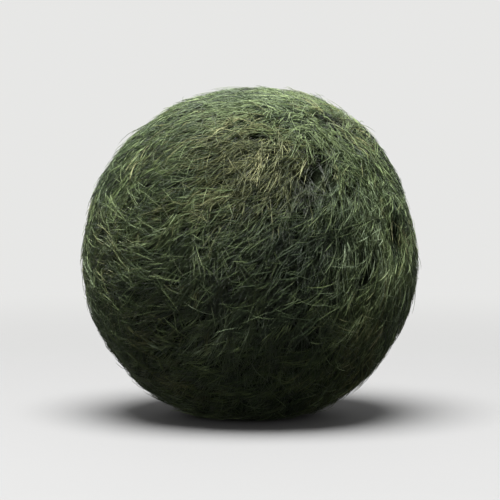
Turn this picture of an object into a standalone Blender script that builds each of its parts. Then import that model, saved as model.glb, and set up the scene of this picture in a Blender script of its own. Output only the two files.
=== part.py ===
"""Marimo moss ball, resting on its small flat spot.

A marimo is one felted ball of fine filaments, grown as one piece, so it is one solid here. The solid's
outside stands where the tips of the filaments are. It has the soft lumps of the ball, the combed locks
in low relief, the hollows where the felt has parted, and the flat spot that the ball's weight has pressed.
Metres, +Z up. The origin is on the flat spot, under the middle of the ball.
"""

import math

import bmesh
import bpy
from mathutils import Vector, noise

# The ball's size
WIDTH = 0.0470
DEPTH = 0.0464
HEIGHT = 0.0456
RADIUS = WIDTH / 2

# The flat spot: the ball's radius there, how softly the felt rolls over into it, where on that roll
# it goes flat, and how far the pressed felt bulges out beside it
FLAT_SPOT_RADIUS = 0.0080
FLAT_SPOT_SOFTNESS = 0.0006
FLAT_SPOT_LIFT = 0.35
FLAT_SPOT_BULGE = 0.5

# How the filaments are combed: away from the crown, and towards the gather
CROWN = Vector((0.42, -0.35, 0.84)).normalized()
GATHER = Vector((-0.95, -0.10, -0.28)).normalized()
GATHER_PULL = 1.6
POLE_SOFTNESS = 0.06
SWAY_ANGLE = math.radians(24)
SWAY_PER_RADIUS = 1.7

# Soft lumps of the whole ball, read from another part of the noise than the locks
LUMP_HEIGHT = 0.00055
LUMPS_PER_RADIUS = 1.25
LUMP_NOISE_START = Vector((7.0, 3.0, 1.0))

# Combed locks: broad ridges with narrow valleys, drawn out along the comb. On the unit ball, they are
# pressed out below the start level, and have their full height from the full level up.
LOCK_HEIGHT = 0.00075
LOCKS_PER_RADIUS = 5.2
LOCK_STEPS = 4
LOCK_STEP = 0.055
VALLEY_NOISE = 0.12
LOCKS_START_LEVEL = -0.96
LOCKS_FULL_LEVEL = -0.80

# Hollows where the felt has parted: place on the unit ball, half length, half width and depth
HOLLOWS = (
    (Vector((0.36, -0.77, 0.53)), 0.0022, 0.0013, 0.0013),
    (Vector((0.85, -0.50, 0.12)), 0.0034, 0.0012, 0.0012),
    (Vector((0.66, -0.75, -0.10)), 0.0030, 0.0010, 0.0009),
    (Vector((-0.45, 0.80, 0.40)), 0.0030, 0.0013, 0.0012),
    (Vector((0.30, 0.88, -0.36)), 0.0026, 0.0011, 0.0010),
    (Vector((-0.90, 0.25, 0.37)), 0.0028, 0.0012, 0.0011),
)

# Cuts across each face of the cube that is blown up into the ball
CUBE_CUTS = 27

MOSS_COLOUR = (0.042, 0.052, 0.028, 1.0)
MOSS_ROUGHNESS = 0.9


def clear_scene():
    for old in list(bpy.data.objects):
        bpy.data.objects.remove(old, do_unlink=True)


def along_surface(vector, place):
    """The part of a vector that lies along the unit ball's surface at a place."""
    return vector - place * place.dot(vector)


def comb_direction(place):
    """The way the filaments lie at a place on the unit ball."""
    away = -along_surface(CROWN, place) / (1 + POLE_SOFTNESS - place.dot(CROWN))
    towards = along_surface(GATHER, place) / (1 + POLE_SOFTNESS - place.dot(GATHER))
    flow = (away + towards * GATHER_PULL).normalized()
    sway = SWAY_ANGLE * noise.noise(place * SWAY_PER_RADIUS)
    return flow * math.cos(sway) + place.cross(flow) * math.sin(sway)


def combed_noise(place):
    """Noise averaged along the comb, so that it comes out as streaks."""
    total = noise.noise(place * LOCKS_PER_RADIUS)
    for way in (1, -1):
        point = place
        for _ in range(LOCK_STEPS):
            point = (point + comb_direction(point) * (LOCK_STEP * way)).normalized()
            total += noise.noise(point * LOCKS_PER_RADIUS)
    return total / (2 * LOCK_STEPS + 1)


def lock_relief(place):
    """Height of the locks. The valleys between them run where the combed noise passes through zero."""
    valley = math.exp(-((combed_noise(place) / VALLEY_NOISE) ** 2))
    unpressed = (place.z - LOCKS_START_LEVEL) / (LOCKS_FULL_LEVEL - LOCKS_START_LEVEL)
    return LOCK_HEIGHT * (0.5 - valley) * min(1.0, max(0.0, unpressed))


def hollow_relief(place):
    """Depth of the parted places, each an oval drawn out along the comb."""
    depth = 0.0
    for middle, half_length, half_width, deep in HOLLOWS:
        middle = middle.normalized()
        offset = (place - middle) * RADIUS
        if offset.length > 2.5 * half_length:
            continue
        along = comb_direction(middle)
        across = middle.cross(along)
        spread = (offset.dot(along) / half_length) ** 2 + (offset.dot(across) / half_width) ** 2
        depth += deep * math.exp(-spread)
    return depth


def outside_radius(place):
    """Distance from the ball's middle to the tips of its filaments, before the ball is set down."""
    lumps = LUMP_HEIGHT * noise.noise(place * LUMPS_PER_RADIUS + LUMP_NOISE_START)
    return RADIUS + lumps + lock_relief(place) - hollow_relief(place)


def set_down(point):
    """Presses the underside flat. It rolls over softly, and the felt bulges a little beside it."""
    flat_level = -math.sqrt(RADIUS**2 - FLAT_SPOT_RADIUS**2)
    above = point.z - flat_level
    rolled = FLAT_SPOT_SOFTNESS * math.log1p(math.exp(-abs(above) / FLAT_SPOT_SOFTNESS))
    pressed = max(above, 0.0) + rolled
    bulge = 1 + FLAT_SPOT_BULGE * (pressed - above) / RADIUS
    height = max(pressed, FLAT_SPOT_SOFTNESS * FLAT_SPOT_LIFT)
    return Vector((point.x * bulge, point.y * bulge, flat_level + height))


def blown_up_cube():
    """A bmesh of the whole ball, from a cut cube whose points are moved out onto the ball."""
    ball = bmesh.new()
    bmesh.ops.create_cube(ball, size=2.0)
    bmesh.ops.subdivide_edges(ball, edges=ball.edges[:], cuts=CUBE_CUTS, use_grid_fill=True)
    for point in ball.verts:
        even = Vector([math.tan(value * math.pi / 4) for value in point.co])
        place = even.normalized()
        point.co = set_down(place * outside_radius(place))
    return ball


def join_flat_spot(ball):
    """Joins the faces that lie on the pressed level into one flat face."""
    level = min(point.co.z for point in ball.verts)
    pressed = [face for face in ball.faces if all(point.co.z == level for point in face.verts)]
    bmesh.ops.dissolve_faces(ball, faces=pressed)
    bmesh.ops.recalc_face_normals(ball, faces=ball.faces[:])


def fit_to_size(ball):
    """Brings the ball to its width, depth and height, with its flat spot's middle at the origin."""
    spans = []
    for axis in range(3):
        values = [point.co[axis] for point in ball.verts]
        spans.append((min(values), max(values)))
    low = Vector([span[0] for span in spans])
    high = Vector([span[1] for span in spans])
    size = high - low
    start = Vector(((low.x + high.x) / 2, (low.y + high.y) / 2, low.z))
    for point in ball.verts:
        moved = point.co - start
        point.co = Vector((moved.x * WIDTH / size.x, moved.y * DEPTH / size.y, moved.z * HEIGHT / size.z))


def moss_material():
    """Dark grey-green felt."""
    material = bpy.data.materials.new("moss_felt")
    material.use_nodes = True
    shader = material.node_tree.nodes["Principled BSDF"]
    shader.inputs["Base Color"].default_value = MOSS_COLOUR
    shader.inputs["Roughness"].default_value = MOSS_ROUGHNESS
    shader.inputs["Metallic"].default_value = 0.0
    return material


def moss_ball(collection):
    ball = blown_up_cube()
    join_flat_spot(ball)
    fit_to_size(ball)
    mesh = bpy.data.meshes.new("moss_ball")
    ball.to_mesh(mesh)
    ball.free()
    mesh.shade_smooth()
    mesh.materials.append(moss_material())
    piece = bpy.data.objects.new("moss_ball", mesh)
    collection.objects.link(piece)
    return piece


def main():
    clear_scene()
    collection = bpy.data.collections.new("marimo_moss_ball")
    bpy.context.scene.collection.children.link(collection)
    moss_ball(collection)


main()
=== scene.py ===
# %% [markdown]
# # A marimo moss ball
#
# A marimo is a ball of fine green filaments that have felted together. From a step away it is a dark, matt
# ball. Close by it is all hair: soft locks of filaments that lie along the surface, light on their backs and
# almost black between them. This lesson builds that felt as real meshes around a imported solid.

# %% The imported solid
import math

import bmesh
import bpy
import numpy as np
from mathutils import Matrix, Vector, noise
from mathutils.bvhtree import BVHTree


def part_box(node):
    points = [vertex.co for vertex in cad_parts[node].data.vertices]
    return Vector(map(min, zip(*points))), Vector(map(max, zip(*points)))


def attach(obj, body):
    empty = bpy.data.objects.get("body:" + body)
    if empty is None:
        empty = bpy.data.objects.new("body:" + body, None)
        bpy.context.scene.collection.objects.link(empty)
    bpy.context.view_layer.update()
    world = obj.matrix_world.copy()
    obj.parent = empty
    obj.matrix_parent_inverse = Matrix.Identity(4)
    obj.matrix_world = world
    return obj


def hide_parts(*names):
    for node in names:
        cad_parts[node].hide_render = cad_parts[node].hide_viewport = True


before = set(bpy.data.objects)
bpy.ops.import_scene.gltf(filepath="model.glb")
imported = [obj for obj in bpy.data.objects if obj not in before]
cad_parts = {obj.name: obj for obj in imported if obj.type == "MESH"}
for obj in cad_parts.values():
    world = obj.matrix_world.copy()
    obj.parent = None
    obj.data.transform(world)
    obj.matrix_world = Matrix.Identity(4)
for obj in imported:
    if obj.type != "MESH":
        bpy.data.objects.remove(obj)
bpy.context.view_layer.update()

MM = 0.001
BODY = "root"
SOLID = "moss_ball"

low, high = [Vector(corner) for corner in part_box(SOLID)]
ball_width = high.x - low.x
ball_radius = ball_width / 2
ball_middle = Vector((0, 0, high.z - ball_radius))
print(f"The ball is {ball_width / MM:.1f} mm wide and {(high.z - low.z) / MM:.1f} mm high")

# %% [markdown]
# The camera looks at the ball almost level, as a shopper looks at a shelf, from a little above. A long lens
# keeps the ball round. A wide lens close by would show less of its sides and swell its middle.

# %% Camera
CAMERA_LENS = 180
CAMERA_ELEVATION = math.radians(4)
CAMERA_AZIMUTH = math.radians(-2)
BALL_SHARE_OF_FRAME = 0.68

camera_data = bpy.data.cameras.new("camera")
camera_data.lens = CAMERA_LENS
camera = bpy.data.objects.new("camera", camera_data)
bpy.context.scene.collection.objects.link(camera)
bpy.context.scene.camera = camera
aim = Vector((0, 0, (low.z + high.z) / 2))
camera_distance = ball_width / BALL_SHARE_OF_FRAME * CAMERA_LENS / camera_data.sensor_width
backwards = Vector((
    math.sin(CAMERA_AZIMUTH) * math.cos(CAMERA_ELEVATION),
    -math.cos(CAMERA_AZIMUTH) * math.cos(CAMERA_ELEVATION),
    math.sin(CAMERA_ELEVATION),
))
camera.location = aim + backwards * camera_distance
camera.rotation_euler = backwards.to_track_quat("Z", "Y").to_euler()
print(f"The camera stands {camera_distance:.2f} m away")

# %% [markdown]
# The filaments aren't laid at random. They spread from a crown near the top right, flow round the ball and
# gather at the far left, like hair that has been combed. Such a flow could be drawn by hand as guide curves.
# A formula is shorter: it adds a push away from the crown and a pull towards the gather, and turns the sum a
# little with smooth noise. The solid's ridges follow the same flow, so hair and ridges agree.


# %% Which way the filaments lie
def unit(vectors):
    """The vectors, each brought to a length of one."""
    return vectors / np.linalg.norm(vectors, axis=-1, keepdims=True)


CROWN = unit(np.array((0.42, -0.35, 0.84)))
GATHER = unit(np.array((-0.95, -0.10, -0.28)))
GATHER_PULL = 1.6
POLE_SOFTNESS = 0.06
SWAY_ANGLE = math.radians(24)
SWAY_PER_RADIUS = 1.7


def soft_noise(places, per_radius, start=(0.0, 0.0, 0.0)):
    """Smooth noise from about -1 to 1 at each place on the unit ball."""
    start = Vector(start)
    return np.array([noise.noise(Vector(place) * per_radius + start) for place in places])


def turned(places, directions, angles):
    """Directions along the surface, each turned about its place by an angle."""
    across = np.cross(places, directions)
    return directions * np.cos(angles)[:, None] + across * np.sin(angles)[:, None]


def combed(places):
    """The direction of the comb at each place on the unit ball."""
    at_crown = places @ CROWN
    at_gather = places @ GATHER
    away = (places * at_crown[:, None] - CROWN) / (1 + POLE_SOFTNESS - at_crown)[:, None]
    towards = (GATHER - places * at_gather[:, None]) / (1 + POLE_SOFTNESS - at_gather)[:, None]
    flow = unit(away + GATHER_PULL * towards)
    return turned(places, flow, SWAY_ANGLE * soft_noise(places, SWAY_PER_RADIUS))


# %% [markdown]
# Everything on the ball is placed by a direction from its middle and a height over the solid. The height is
# found by sending a ray outwards from the middle to the solid. The solid comes as loose triangles, so a copy
# of it is merged first. Real hairs bridge a narrow valley and don't follow it down. So once the outside is
# kept, the copy is smoothed a little, and the hairs are laid over the smoothed one.

# %% Finding the outside
MERGE_DISTANCE = 0.001 * MM
SMOOTHING_STEPS = 4

solid_copy = bmesh.new()
solid_copy.from_mesh(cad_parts[SOLID].data)
bmesh.ops.remove_doubles(solid_copy, verts=solid_copy.verts[:], dist=MERGE_DISTANCE)
outside = BVHTree.FromBMesh(solid_copy)
for step in range(SMOOTHING_STEPS):
    bmesh.ops.smooth_vert(
        solid_copy, verts=solid_copy.verts[:], factor=0.5, use_axis_x=True, use_axis_y=True, use_axis_z=True,
    )
bridged = BVHTree.FromBMesh(solid_copy)
print(f"The solid has {len(solid_copy.faces)} faces and {len(solid_copy.verts)} corners")
solid_copy.free()


def reach(surface, places):
    """The distance from the ball's middle to a surface round it, towards each place."""
    return np.array([surface.ray_cast(ball_middle, Vector(place))[3] for place in places])


# %% [markdown]
# In a few places the felt has parted and shows a dark hollow. The solid has a dent there. The hairs have to
# part as well, so each hollow is also kept as an oval drawn out along the comb: its middle on the unit ball,
# and half its length and width.

# %% Where the felt has parted
HOLLOWS = (
    ((0.36, -0.77, 0.53), 2.2 * MM, 1.3 * MM),
    ((0.85, -0.50, 0.12), 3.2 * MM, 1.4 * MM),
    ((0.66, -0.75, -0.08), 2.6 * MM, 1.2 * MM),
    ((-0.45, 0.80, 0.40), 2.6 * MM, 1.1 * MM),
    ((0.30, 0.88, -0.36), 2.2 * MM, 1.0 * MM),
    ((-0.90, 0.25, 0.37), 2.4 * MM, 1.1 * MM),
)


def parted(places):
    """How far the felt has parted at each place: 1 in the middle of a hollow, and 0 away from all of them."""
    share = np.zeros(len(places))
    for middle, half_length, half_width in HOLLOWS:
        middle = unit(np.array([middle]))
        along = combed(middle)
        across = np.cross(middle, along)
        offsets = (places - middle) * ball_radius
        spread = (offsets @ along[0] / half_length) ** 2 + (offsets @ across[0] / half_width) ** 2
        own_side = places @ middle[0] > 0
        share = np.maximum(share, own_side * np.exp(-spread))
    return share


print(f"The felt has parted in {len(HOLLOWS)} places")

# %% [markdown]
# Shader arithmetic is easier to read as an expression than as a heap of nodes. A Term holds one output of a
# node, and adding, subtracting or multiplying terms adds the Math nodes for it. Every other node is made by
# one method of Finish, which takes the node's type, its settings and what goes into its sockets.


# %% A small language for finishes
class Term:
    """One output in a node tree, with arithmetic."""

    def __init__(self, tree, socket):
        self.tree = tree
        self.socket = socket

    def _math(self, operation, first, second):
        made = self.tree.nodes.new("ShaderNodeMath")
        made.operation = operation
        for entry, value in zip(made.inputs, (first, second)):
            if isinstance(value, Term):
                self.tree.links.new(value.socket, entry)
            else:
                entry.default_value = value
        return Term(self.tree, made.outputs[0])

    def __add__(self, other):
        return self._math("ADD", self, other)

    def __radd__(self, other):
        return self._math("ADD", other, self)

    def __sub__(self, other):
        return self._math("SUBTRACT", self, other)

    def __rsub__(self, other):
        return self._math("SUBTRACT", other, self)

    def __mul__(self, other):
        return self._math("MULTIPLY", self, other)

    def __rmul__(self, other):
        return self._math("MULTIPLY", other, self)


class Finish:
    """A material and its nodes."""

    def __init__(self, name):
        self.material = bpy.data.materials.new(name)
        self.material.use_nodes = True
        self.tree = self.material.node_tree
        self.shader = self.tree.nodes["Principled BSDF"]

    def node(self, kind, settings, sockets, output=0):
        """A new node. Its settings are set first, then its sockets get their values or links."""
        made = self.tree.nodes.new(kind)
        for name, value in settings.items():
            if name == "stops":
                self.set_stops(made.color_ramp, value)
            elif name == "steps":
                made.color_ramp.interpolation = "CONSTANT"
            else:
                setattr(made, name, value)
        for name, value in sockets.items():
            if isinstance(value, Term):
                self.tree.links.new(value.socket, made.inputs[name])
            else:
                made.inputs[name].default_value = value
        return Term(self.tree, made.outputs[output])

    def set_stops(self, ramp, stops):
        """Gives a colour ramp its stops, each a position and a colour."""
        while len(ramp.elements) < len(stops):
            ramp.elements.new(1.0)
        for element, (position, colour) in zip(ramp.elements, stops):
            element.position = position
            element.color = (*colour, 1.0)

    def feed(self, name, value):
        """Puts a value or a term into a socket of the material's shader."""
        if isinstance(value, Term):
            self.tree.links.new(value.socket, self.shader.inputs[name])
        else:
            self.shader.inputs[name].default_value = value


# %% [markdown]
# Under the locks lies a dense mat of broken filaments. Its almost black colour is painted shade: it shows only
# in the gaps between the locks, so it needs no hairs of its own. It is a ball of small triangles, pushed out to a
# little under the solid's outside, with a fine relief drawn out along the comb so that its gaps read as matted
# hair.

# %% Dark felt under the locks, painted shade for the gaps
FELT_CUTS = 6
FELT_DEPTH = 1.15 * MM
FELT_RELIEF = 0.22 * MM
FELT_HOLLOW = 1.2 * MM
FELT_NOISE_PER_RADIUS = 22
FELT_FLOOR_GAP = 0.25 * MM


def finished_piece(name, mesh, material):
    """Puts a mesh in the scene as a piece of the ball."""
    mesh.materials.append(material)
    piece = bpy.data.objects.new(name, mesh)
    bpy.context.scene.collection.objects.link(piece)
    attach(piece, BODY)
    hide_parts(SOLID)
    return piece


def felt_mesh():
    """A ball of small triangles that lies just under the solid's outside."""
    felt = bmesh.new()
    bmesh.ops.create_icosphere(felt, subdivisions=FELT_CUTS, radius=1.0)
    places = unit(np.array([point.co for point in felt.verts]))
    relief = FELT_RELIEF * soft_noise(places, FELT_NOISE_PER_RADIUS) - FELT_HOLLOW * parted(places)
    distances = reach(outside, places) - FELT_DEPTH + relief
    for point, place, distance in zip(felt.verts, places, distances):
        point.co = ball_middle + Vector(place) * distance
        point.co.z = max(point.co.z, FELT_FLOOR_GAP)
    bmesh.ops.recalc_face_normals(felt, faces=felt.faces[:])
    mesh = bpy.data.meshes.new("felt_painted_shade")
    felt.to_mesh(mesh)
    felt.free()
    mesh.shade_smooth()
    return mesh


def felt_finish():
    """Almost black green, painted shade for the gaps between the locks, mottled, with a fine matted bump."""
    finish = Finish("felt_painted_shade")
    place = finish.node("ShaderNodeTexCoord", {}, {}, "Object")
    mottle = finish.node("ShaderNodeTexNoise", {}, {"Vector": place, "Scale": 900.0, "Detail": 3.0})
    matting = finish.node("ShaderNodeTexNoise", {}, {"Vector": place, "Scale": 4200.0, "Detail": 2.0})
    # The near-black colours are painted shade for the gaps between the locks.
    stops = ((0.3, (0.004, 0.006, 0.003)), (0.7, (0.016, 0.022, 0.010)))
    colour = finish.node("ShaderNodeValToRGB", {"stops": stops}, {"Fac": mottle * 0.6 + matting * 0.4})
    bump = finish.node("ShaderNodeBump", {}, {"Height": matting, "Strength": 0.6, "Distance": 0.15 * MM})
    finish.feed("Base Color", colour)
    finish.feed("Roughness", 0.75 + mottle * 0.2)
    finish.feed("Normal", bump)
    finish.feed("Specular IOR Level", 0.06)
    return finish.material


felt_painted_shade = finished_piece("felt_painted_shade", felt_mesh(), felt_finish())
print(f"The old felt has {len(felt_painted_shade.data.polygons)} triangles")

# %% [markdown]
# One filament is a thin three-sided cone, cut across so that it can bend. Three sides are enough for a hair
# a pixel wide, and smooth shading rounds them. Particle hair would be easier to comb, but it isn't a mesh.
# So the cone is modelled once, and arrays of numbers repeat it: for each of its corners the template keeps
# how far along the hair it stands, and which way it lies from the hair's middle line. Short hairs are cut
# once, because every cut costs six triangles, and long ones three times.

# %% One filament
SIDES = 3
TAPER_STOPS = (0.0, 0.3, 0.8, 1.0)
TAPER_SHARES = (0.7, 1.0, 0.7, 0.0)


class Filament:
    """A cut cone, as arrays: how far along the hair each corner is, its offset across, and the faces."""

    def __init__(self, cuts):
        cone = bmesh.new()
        bmesh.ops.create_cone(cone, segments=SIDES, radius1=1.0, radius2=0.0, depth=1.0, cap_ends=True)
        bmesh.ops.translate(cone, verts=cone.verts[:], vec=(0, 0, 0.5))
        for cut in cuts:
            whole = cone.verts[:] + cone.edges[:] + cone.faces[:]
            bmesh.ops.bisect_plane(cone, geom=whole, plane_co=(0, 0, cut), plane_no=(0, 0, 1))
        bmesh.ops.triangulate(cone, faces=cone.faces[:])
        cone.verts.index_update()
        corners = np.array([point.co for point in cone.verts]).round(5)
        self.along = corners[:, 2]
        self.stops = (0.0, *cuts, 1.0)
        self.offset = corners[:, :2] / np.where(self.along < 1, 1 - self.along, 1)[:, None]
        self.faces = np.array([[point.index for point in face.verts] for face in cone.faces])
        self.side = self.offset[:, 0] / self.offset[:, 0].max()
        cone.free()
        print(f"A filament with {len(cuts)} cuts has {len(self.along)} corners and {len(self.faces)} triangles")


SHORT = Filament(cuts=(0.5,))
LONG = Filament(cuts=(0.3, 0.55, 0.8))

# %% [markdown]
# A filament's colour comes from a map, as yarn comes from a dye card. Across the card the tone goes from
# almost black to pale straw, and each filament is given one narrow stripe of it. The card has three bands,
# one above the other, for the three greens of the ball: olive where the felt is old, leaf green, and the grey
# green of its dry side. Along a band goes the length of the hair: dark at the root, paler at the tip. The same
# card serves thousands of hairs, so the pattern stays sharp when the finish is baked.

# %% The dye card
CARD_MAP = "OFBake"
STRIPE_WIDTH = 0.002
CAP_LENGTH = 0.01
BAND_MARGIN = 0.03
TONES = (
    (0.00, (0.006, 0.013, 0.003)),
    (0.22, (0.015, 0.025, 0.008)),
    (0.45, (0.047, 0.065, 0.025)),
    (0.62, (0.092, 0.110, 0.044)),
    (0.80, (0.155, 0.185, 0.092)),
    (1.00, (0.330, 0.360, 0.210)),
)
BANDS = (
    (1.07, 0.98, 0.84),
    (0.91, 1.03, 0.87),
    (0.91, 1.02, 1.10),
)
ROOT_SHADE = 0.30
CELLS_ALONG = 26


def hair_finish():
    """Damp filament: its tone from the dye card, darker towards the root, with faint cells along it."""
    finish = Finish("moss_filament")
    card = finish.node("ShaderNodeUVMap", {"uv_map": CARD_MAP}, {})
    across = finish.node("ShaderNodeSeparateXYZ", {}, {"Vector": card}, 0)
    up = finish.node("ShaderNodeSeparateXYZ", {}, {"Vector": card}, 1)
    along = finish.node("ShaderNodeMath", {"operation": "FRACT"}, {0: up * len(BANDS)})
    tone = finish.node("ShaderNodeValToRGB", {"stops": TONES}, {"Fac": across})
    band_stops = [(place / len(BANDS), tint) for place, tint in enumerate(BANDS)]
    band = finish.node("ShaderNodeValToRGB", {"stops": band_stops, "steps": True}, {"Fac": up})
    rise = finish.node("ShaderNodeMapRange", {"interpolation_type": "SMOOTHSTEP"}, {
        "Value": along, "From Min": 0.0, "From Max": 0.55, "To Min": ROOT_SHADE, "To Max": 1.0,
    })
    cells = finish.node("ShaderNodeMath", {"operation": "SINE"}, {0: along * (CELLS_ALONG * math.tau)})
    light = rise * (0.94 + 0.06 * cells)
    shade = finish.node("ShaderNodeCombineXYZ", {}, {"X": light, "Y": light, "Z": light})
    dyed = finish.node("ShaderNodeVectorMath", {"operation": "MULTIPLY"}, {0: tone, 1: band})
    colour = finish.node("ShaderNodeVectorMath", {"operation": "MULTIPLY"}, {0: dyed, 1: shade})
    finish.feed("Base Color", colour)
    finish.feed("Roughness", 0.45 + 0.25 * across)
    finish.feed("Specular IOR Level", 0.20)
    finish.feed("Sheen Weight", 0.07)
    finish.feed("Sheen Roughness", 0.4)
    return finish.material


filament_finish = hair_finish()
print(f"The dye card has {len(TONES)} tones in {len(BANDS)} bands")

# %% [markdown]
# Each hair is an arc over the ball. It starts at a root, heads off along the surface, may bend a little to
# one side, and climbs from the felt to the outside as a straw does in a thatch. The arrays hold one number
# for each hair, so that thousands of hairs are laid by a few lines.

# %% Laying hairs
FLOOR_GAP = 0.03 * MM
SAME_STOP = 0.0001
STOPS_LOOKED_AT = (0.25, 0.6, 0.9)
LEAST_PARTED = 0.2
MOST_PARTED = 0.8
# Painted shade: how much darker the hairs over a hollow are made.
PAINTED_SHADE_WHERE_PARTED = 0.30
CARD_EDGE = 0.02
random = np.random.default_rng(20)


class Hairs:
    """Many hairs: the root and heading of each on the unit ball, and its measures.

    The measures are its length, its sideways bend, how deep its root sinks below its top, the height of its
    top over the solid, its thickness, its tone and its band. Hairs over a hollow are mostly left out, and the
    ones kept there are darkened as painted shade.
    """

    def __init__(self, filament, roots, headings, lengths, bends, sinks, tops, thickness, tones, bands):
        along = [headings * (lengths / ball_radius * stop)[:, None] for stop in STOPS_LOOKED_AT]
        over_hollow = np.max([parted(unit(roots + step)) for step in along], axis=0)
        kept = over_hollow < random.uniform(LEAST_PARTED, MOST_PARTED, len(roots))
        self.filament = filament
        self.roots = roots[kept]
        self.headings = headings[kept]
        self.lengths = lengths[kept]
        self.bends = bends[kept]
        self.sinks = sinks[kept]
        self.tops = tops[kept]
        self.thickness = thickness[kept]
        # Hairs kept over a hollow are darkened: painted shade for the recess.
        self.tones = tones[kept] - PAINTED_SHADE_WHERE_PARTED * over_hollow[kept]
        self.bands = bands[kept]

    def place_at(self, stop):
        """The place of every hair at one stop along it, on the unit ball, and its direction there."""
        angle = (self.lengths / ball_radius * stop)[:, None]
        across = np.cross(self.roots, self.headings)
        place = self.roots * np.cos(angle) + self.headings * np.sin(angle)
        place = unit(place + across * angle * (self.bends * stop)[:, None])
        ahead = self.headings * np.cos(angle) - self.roots * np.sin(angle)
        ahead = ahead + across * (2 * self.bends * stop)[:, None]
        ahead = unit(ahead - place * np.sum(ahead * place, axis=1)[:, None])
        return place, ahead

    def height_at(self, stop):
        """Each hair's height over the solid at one stop: deep at the root, then up to its top."""
        return self.tops - self.sinks * (1 - stop) ** 2

    def corners(self):
        """The corners of all hairs, hair by hair in the filament's order."""
        corners = np.zeros((len(self.roots), len(self.filament.along), 3))
        for stop in self.filament.stops:
            place, ahead = self.place_at(stop)
            across = np.cross(place, ahead)
            distance = reach(bridged, place) + self.height_at(stop)
            middle = place * distance[:, None] + np.array(ball_middle)
            radius = (self.thickness / 2 * np.interp(stop, TAPER_STOPS, TAPER_SHARES))[:, None]
            middle[:, 2] = np.maximum(middle[:, 2], radius[:, 0] + FLOOR_GAP)
            for corner in np.flatnonzero(np.isclose(self.filament.along, stop, atol=SAME_STOP)):
                sideways, outwards = self.filament.offset[corner]
                corners[:, corner] = middle + radius * (across * sideways + place * outwards)
        return corners

    def card_places(self):
        """The place of every face corner on the dye card."""
        sides = self.filament.side[self.filament.faces]
        along = self.filament.along[self.filament.faces].copy()
        cap = along.max(axis=1) == 0
        along[cap] = CAP_LENGTH * (np.arange(SIDES) == 0)
        tones = np.clip(self.tones, CARD_EDGE, 1 - CARD_EDGE)[:, None, None]
        across = tones + STRIPE_WIDTH * sides[None]
        in_band = BAND_MARGIN + (1 - 2 * BAND_MARGIN) * along[None]
        up = (self.bands[:, None, None] + in_band) / len(BANDS)
        return np.stack((across, up), axis=-1)


def hair_piece(name, hairs):
    """Joins all the hairs in one mesh and finishes it as a piece of the ball."""
    count = len(hairs.roots)
    first_corners = np.arange(count)[:, None, None] * len(hairs.filament.along)
    faces = (hairs.filament.faces[None] + first_corners).reshape(-1, 3)
    mesh = bpy.data.meshes.new(name)
    mesh.from_pydata(hairs.corners().reshape(-1, 3), [], faces.tolist())
    mesh.uv_layers.new(name=CARD_MAP).uv.foreach_set("vector", hairs.card_places().ravel())
    mesh.shade_smooth()
    print(f"{name}: {count} hairs, {len(mesh.polygons)} triangles")
    return finished_piece(name, mesh, filament_finish)


# %% [markdown]
# The ball's tone changes from place to place. It is paler on the right, darker in the middle, and mottled
# everywhere, and its upper front is paler still: that is painted light from above. Painting each hair at random
# would only give noise, so the tones and the bands come from smooth fields over the ball, with a few soft round
# patches. Each patch has its middle, its size on the unit ball and its change.

# %% Where the ball is paler, darker or greyer
TONE_AND_LIGHT_PATCHES = (
    # Painted light: the upper front is paler, as if lit from above.
    ((0.00, -0.76, 0.65), 0.50, 0.12),
    ((0.76, -0.65, 0.02), 0.30, 0.32),
    ((-0.30, -0.92, 0.26), 0.25, 0.08),
    ((0.20, -0.95, 0.18), 0.34, -0.28),
    ((0.28, -0.90, -0.35), 0.25, -0.08),
    ((0.36, -0.80, 0.50), 0.13, -0.06),
    ((-0.80, -0.60, -0.10), 0.25, 0.06),
)
BROAD_MOTTLE = {"per_radius": 2.4, "start": (5, 1, 8)}
SMALL_MOTTLE = {"per_radius": 7.5, "start": (2, 9, 4)}
BROAD_CHANGE = 0.12
SMALL_CHANGE = 0.22

BAND_PATCHES = (
    ((0.05, -0.85, 0.50), 0.40, -1.0),
    ((0.75, -0.62, 0.20), 0.45, 1.0),
    ((0.00, -0.88, -0.48), 0.50, 0.5),
)
GREEN_MOTTLE = {"per_radius": 2.6, "start": (4, 6, 2)}
GREEN_CHANGE = 1.3
GREEN_SPREAD = 0.4
LEAF_GREEN = 1


def patches(places, set_by_hand):
    """The change that the soft round patches make at each place."""
    changes = np.zeros(len(places))
    for middle, size, change in set_by_hand:
        distances = np.linalg.norm(places - unit(np.array(middle)), axis=1)
        changes += change * np.exp(-((distances / size) ** 2))
    return changes


def tones_over(places):
    """How much paler or darker the ball is at each place; the paler upper front is painted light from above."""
    broad = BROAD_CHANGE * soft_noise(places, **BROAD_MOTTLE)
    small = SMALL_CHANGE * soft_noise(places, **SMALL_MOTTLE)
    return broad + small + patches(places, TONE_AND_LIGHT_PATCHES)


def bands_over(places):
    """Which band of the dye card each place takes. Neighbours mostly take the same one."""
    greens = LEAF_GREEN + GREEN_CHANGE * soft_noise(places, **GREEN_MOTTLE) + patches(places, BAND_PATCHES)
    greens = greens + random.normal(0, GREEN_SPREAD, len(places))
    return np.clip(np.round(greens), 0, len(BANDS) - 1)


print(f"The ball has {len(TONE_AND_LIGHT_PATCHES)} patches of tone and {len(BAND_PATCHES)} patches of green set by hand")

# %% [markdown]
# The hairs follow the comb, but not so exactly as the ridges under them. On the ball's front they rise more
# steeply to the right than the ridges do, and at its left edge they lie more level. More noise would turn
# them anywhere. Soft round patches of the same kind turn them just where it is wanted, and here the change of
# a patch is a turn in degrees.

# %% Where the hairs are brushed to one side
BRUSHED_PATCHES = (
    ((0.08, -0.97, 0.20), 0.35, 26),
    ((-0.75, -0.60, 0.15), 0.35, -42),
    ((-0.25, -0.80, -0.55), 0.45, 32),
    ((-0.10, -0.66, 0.75), 0.35, 10),
)


def brushed(places):
    """The direction that the hairs take: along the comb, turned a little in the patches."""
    return turned(places, combed(places), np.radians(patches(places, BRUSHED_PATCHES)))


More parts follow.
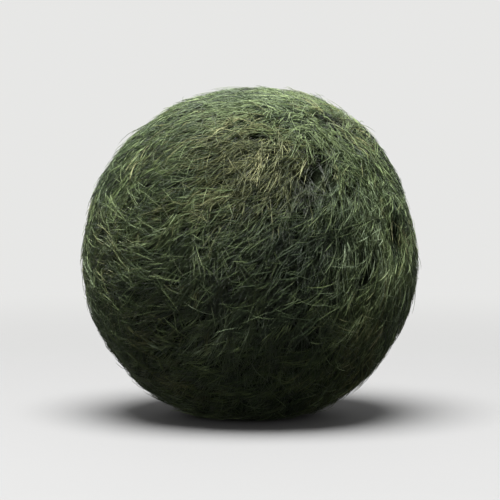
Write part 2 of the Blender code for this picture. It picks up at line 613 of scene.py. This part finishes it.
print(f"The hairs are brushed to one side in {len(BRUSHED_PATCHES)} places")

# %% [markdown]
# Hair reads as hair because it comes in locks. A ball covered with single hairs, each laid on its own, looks
# like short grass. So the locks are laid first, each with its own heading, height and tone. Then each lock
# gets its hairs: side by side, a little scattered, highest in the lock's middle, and drawn together at the tip.
# At the crown and the gather the comb would leave a neat whorl, and low down it would leave long level
# strokes. Felt shows neither, so the locks there are tangled: they turn further from the comb. Those low down
# are shorter as well. No lock turns so far that it would cross its neighbours like a straw.

# %% Locks
GOLDEN_ANGLE = math.pi * (3 - math.sqrt(5))
PLACE_SPREAD = 1.2
END_SIZE = 0.08
END_TANGLE = 2.0
LOW_TANGLE = 1.0
LOW_SHORTENING = 0.3
MOST_TURNED = 1.5

LOCK_LENGTHS = (0.70, 1.35)
LOCK_WIDTHS = (0.70, 1.30)
LOCK_TOP_SPREAD = 0.09 * MM
LOCK_TONE_SPREAD = 0.17
LOCK_BEND_SPREAD = 0.12

SIDEWAYS_SPREAD = 0.5
FORWARDS_REACH = 0.4
CLOSING = 0.8
LOCK_FALL = 0.28 * MM
HAIR_TURN_SPREAD = 0.15
HAIR_LENGTHS = (0.60, 1.10)
HAIR_BEND_SPREAD = 0.12
HAIR_SINKS = (0.70, 1.20)
HAIR_TOP_SPREAD = 0.05 * MM
HAIR_THICKNESSES = (0.75, 1.25)
HAIR_TONE_SPREAD = 0.08


def even_places(count):
    """Places spread evenly over the unit ball along a spiral, each moved a little at random."""
    heights = 1 - 2 * (np.arange(count) + 0.5) / count
    turns = GOLDEN_ANGLE * np.arange(count)
    rings = np.sqrt(1 - heights**2)
    places = np.stack((rings * np.cos(turns), rings * np.sin(turns), heights), axis=1)
    return unit(places + random.normal(0, PLACE_SPREAD / math.sqrt(count), (count, 3)))


def tangle(places):
    """How many times further the locks turn from the comb: most at its two ends, and more low down."""
    at_ends = np.exp((places @ CROWN - 1) / END_SIZE) + np.exp((places @ GATHER - 1) / END_SIZE)
    return 1 + END_TANGLE * at_ends + LOW_TANGLE * np.clip(-places[:, 2], 0, 1)


class Locks:
    """Locks of hair over the whole ball: where each lies, which way, and how long, wide, high and pale it is."""

    def __init__(self, count, length, width, scatter, top, tone):
        self.count = count
        self.places = even_places(count)
        turns = np.clip(random.normal(0, 1, count), -MOST_TURNED, MOST_TURNED)
        angles = scatter * turns * tangle(self.places)
        self.headings = turned(self.places, brushed(self.places), angles)
        shortening = 1 - LOW_SHORTENING * np.clip(-2 * self.places[:, 2], 0, 1)
        self.lengths = length * random.uniform(*LOCK_LENGTHS, count) * shortening
        self.widths = width * random.uniform(*LOCK_WIDTHS, count)
        self.tops = top + random.normal(0, LOCK_TOP_SPREAD, count)
        self.tones = tone + tones_over(self.places) + random.normal(0, LOCK_TONE_SPREAD, count)
        self.bands = bands_over(self.places)
        self.bends = random.normal(0, LOCK_BEND_SPREAD, count)

    def hairs(self, filament, each, sink, thickness):
        """The hairs of all locks: side by side, highest in the lock's middle, drawn together at the tip."""
        owner = np.repeat(np.arange(self.count), each)
        count = len(owner)
        sideways = np.clip(random.normal(0, SIDEWAYS_SPREAD, count), -1, 1)
        forwards = random.uniform(-FORWARDS_REACH, FORWARDS_REACH, count)
        lengths = self.lengths[owner]
        half_widths = self.widths[owner] / 2
        across = np.cross(self.places, self.headings)[owner]
        step_across = (sideways * half_widths / ball_radius)[:, None]
        step_forwards = (forwards * lengths / ball_radius)[:, None]
        roots = unit(self.places[owner] + across * step_across + self.headings[owner] * step_forwards)
        headings = self.headings[owner] - roots * np.sum(self.headings[owner] * roots, axis=1)[:, None]
        turns = random.normal(0, HAIR_TURN_SPREAD, count) - CLOSING * sideways * half_widths / lengths
        falls = LOCK_FALL * sideways**2
        return Hairs(
            filament,
            roots,
            turned(roots, unit(headings), turns),
            lengths=lengths * random.uniform(*HAIR_LENGTHS, count),
            bends=self.bends[owner] + random.normal(0, HAIR_BEND_SPREAD, count),
            sinks=sink * random.uniform(*HAIR_SINKS, count),
            tops=self.tops[owner] - falls + random.normal(0, HAIR_TOP_SPREAD, count),
            thickness=thickness * random.uniform(*HAIR_THICKNESSES, count),
            tones=self.tones[owner] + random.normal(0, HAIR_TONE_SPREAD, count),
            bands=self.bands[owner],
        )


# %% [markdown]
# The felt is laid in coats, from the inside out. The undercoat is thick, dark and badly combed, and closes the
# gaps; its dark tone is painted shade for the depth under the combed coats. Three combed coats lie over it, each
# a little higher than the one below. Last come a few long locks, which tie the short ones together.

# %% Coats
UNDERCOAT = {"count": 3000, "length": 5.5 * MM, "width": 1.6 * MM, "scatter": math.radians(38)}
# The undercoat's low tone is painted shade for the depth under the combed coats.
undercoat = Locks(**UNDERCOAT, top=-0.50 * MM, tone=0.24)
hair_piece("under_hairs", undercoat.hairs(SHORT, each=5, sink=0.6 * MM, thickness=0.16 * MM))

COMBED_COAT = {"count": 1500, "length": 4.2 * MM, "width": 1.0 * MM, "scatter": math.radians(20)}
COMBED_COATS = 3
LOWEST_COAT = -0.24 * MM
COAT_STEP = 0.08 * MM
for number in range(COMBED_COATS):
    coat = Locks(**COMBED_COAT, top=LOWEST_COAT + COAT_STEP * number, tone=0.45)
    coat_hairs = coat.hairs(SHORT, each=12, sink=0.8 * MM, thickness=0.115 * MM)
    hair_piece(f"combed_hairs_{number + 1}", coat_hairs)

LONG_LOCKS = {"count": 900, "length": 6.0 * MM, "width": 1.0 * MM, "scatter": math.radians(32)}
long_locks = Locks(**LONG_LOCKS, top=-0.02 * MM, tone=0.50)
hair_piece("long_hairs", long_locks.hairs(LONG, each=5, sink=0.8 * MM, thickness=0.10 * MM))

# %% [markdown]
# Some hairs have come loose. They are finer, cross the locks at any angle and stand a little off the ball,
# and they give its edge the soft fuzz that makes it look dry and light rather than carved. Most lie close to
# the ball and a few stand well off it, so their heights are drawn from a falling curve and then cut off.

# %% Stray hairs
STRAY_COUNT = 6500
STRAY_SCATTER = math.radians(50)
STRAY_LENGTHS = (2.0 * MM, 5.5 * MM)
STRAY_BEND_SPREAD = 0.35
STRAY_SINKS = (0.4 * MM, 1.0 * MM)
STRAY_LOWEST = -0.05 * MM
STRAY_RISE = 0.12 * MM
STRAY_MOST_RISE = 0.60 * MM
STRAY_THICKNESSES = (0.06 * MM, 0.09 * MM)
STRAY_TONE = 0.52
STRAY_TONE_SPREAD = 0.14

stray_places = even_places(STRAY_COUNT)
stray_turns = random.normal(0, STRAY_SCATTER, STRAY_COUNT)
stray_rises = np.minimum(random.exponential(STRAY_RISE, STRAY_COUNT), STRAY_MOST_RISE)
stray_tones = STRAY_TONE + tones_over(stray_places) + random.normal(0, STRAY_TONE_SPREAD, STRAY_COUNT)
stray_hairs = Hairs(
    LONG,
    stray_places,
    turned(stray_places, brushed(stray_places), stray_turns),
    lengths=random.uniform(*STRAY_LENGTHS, STRAY_COUNT),
    bends=random.normal(0, STRAY_BEND_SPREAD, STRAY_COUNT),
    sinks=random.uniform(*STRAY_SINKS, STRAY_COUNT),
    tops=STRAY_LOWEST + stray_rises,
    thickness=random.uniform(*STRAY_THICKNESSES, STRAY_COUNT),
    tones=stray_tones,
    bands=bands_over(stray_places),
)
hair_piece("stray_hairs", stray_hairs)

# %% [markdown]
# The ball rests on a plain pale floor. A flat sheet would end in a hard line behind the ball, so the floor is
# a wide dish: a short line spun round, with a soft curve up to its wall. Close to the ball it is a real
# surface that takes the shadow. Further out it glows evenly, so the background has no dark corners.

# %% Floor
FLOOR_RADIUS = 1.6
WALL_HEIGHT = 1.2
FLOOR_BEND = 0.5
FLOOR_STEPS = 96
FLOOR_TONE = (0.114, 0.114, 0.113, 1.0)
GLOW_TONE = (0.80, 0.80, 0.79, 1.0)
GLOW_STARTS = 0.04
GLOW_IS_FULL = 0.20


def floor_mesh():
    """A dish: its profile is bent with a bevel and spun round the ball."""
    dish = bmesh.new()
    profile = [dish.verts.new(place) for place in ((0, 0, 0), (FLOOR_RADIUS, 0, 0), (FLOOR_RADIUS, 0, WALL_HEIGHT))]
    edges = [dish.edges.new(pair) for pair in zip(profile, profile[1:])]
    bmesh.ops.bevel(
        dish, geom=[profile[1]], offset=FLOOR_BEND, offset_type="OFFSET", segments=16,
        affect="VERTICES", profile=0.5, material=-1,
    )
    bmesh.ops.spin(
        dish, geom=dish.verts[:] + dish.edges[:], cent=(0, 0, 0), axis=(0, 0, 1),
        angle=math.tau, steps=FLOOR_STEPS, use_merge=True,
    )
    bmesh.ops.remove_doubles(dish, verts=dish.verts[:], dist=0.1 * MM)
    bmesh.ops.recalc_face_normals(dish, faces=dish.faces[:])
    bmesh.ops.reverse_faces(dish, faces=dish.faces[:])
    mesh = bpy.data.meshes.new("floor")
    dish.to_mesh(mesh)
    dish.free()
    mesh.shade_smooth()
    return mesh


def floor_finish():
    """Pale matt floor that changes to an even glow away from the ball."""
    finish = Finish("floor")
    place = finish.node("ShaderNodeTexCoord", {}, {}, "Object")
    distance = finish.node("ShaderNodeVectorMath", {"operation": "LENGTH"}, {0: place}, "Value")
    away = finish.node("ShaderNodeMapRange", {"interpolation_type": "SMOOTHSTEP"}, {
        "Value": distance, "From Min": GLOW_STARTS, "From Max": GLOW_IS_FULL,
    })
    finish.feed("Base Color", FLOOR_TONE)
    finish.feed("Roughness", 0.8)
    glow = finish.node("ShaderNodeEmission", {}, {"Color": GLOW_TONE, "Strength": 1.0})
    near = Term(finish.tree, finish.shader.outputs[0])
    both = finish.node("ShaderNodeMixShader", {}, {0: away, 1: near, 2: glow})
    finish.tree.links.new(both.socket, finish.tree.nodes["Material Output"].inputs["Surface"])
    return finish.material


floor = bpy.data.objects.new("floor", floor_mesh())
floor.data.materials.append(floor_finish())
bpy.context.scene.collection.objects.link(floor)
floor.visible_diffuse = False
floor.visible_shadow = False
print(f"The floor is a dish {2 * FLOOR_RADIUS:.1f} m across")

# %% [markdown]
# The light is a soft one straight above and a little in front, as in a shop. It picks out the hairs on top and
# leaves the underside almost black, which is what gives the ball its weight. A faint light from all round
# keeps the shadows open.

# %% Light
KEY_HEIGHT = 0.45
KEY_SIZE = 0.38
KEY_POWER = 14.0
KEY_OFFSET = Vector((-0.03, -0.06, 0))
SKY_STRENGTH = 0.55
SKY_DARK_BELOW = -0.8
SKY_BRIGHT_ABOVE = 0.5

key_data = bpy.data.lights.new("key", "AREA")
key_data.shape = "DISK"
key_data.size = KEY_SIZE
key_data.energy = KEY_POWER
key = bpy.data.objects.new("key", key_data)
bpy.context.scene.collection.objects.link(key)
key.location = aim + KEY_OFFSET + Vector((0, 0, KEY_HEIGHT))
key.rotation_euler = (key.location - aim).to_track_quat("Z", "Y").to_euler()

world = bpy.data.worlds.new("sky")
world.use_nodes = True
bpy.context.scene.world = world
sky_tree = world.node_tree
direction = sky_tree.nodes.new("ShaderNodeTexCoord")
height = sky_tree.nodes.new("ShaderNodeSeparateXYZ")
sky_light = sky_tree.nodes.new("ShaderNodeMapRange")
sky_light.interpolation_type = "SMOOTHSTEP"
sky_light.inputs["From Min"].default_value = SKY_DARK_BELOW
sky_light.inputs["From Max"].default_value = SKY_BRIGHT_ABOVE
sky_light.inputs["To Max"].default_value = SKY_STRENGTH
sky_tree.links.new(direction.outputs["Generated"], height.inputs["Vector"])
sky_tree.links.new(height.outputs["Z"], sky_light.inputs["Value"])
sky_tree.links.new(sky_light.outputs["Result"], sky_tree.nodes["Background"].inputs["Strength"])
sky_tree.nodes["Background"].inputs["Color"].default_value = (1.0, 1.0, 1.0, 1.0)
bpy.context.scene.view_settings.view_transform = "Standard"
print(f"The key light is {KEY_SIZE:.2f} m wide, {KEY_HEIGHT:.2f} m above the ball")
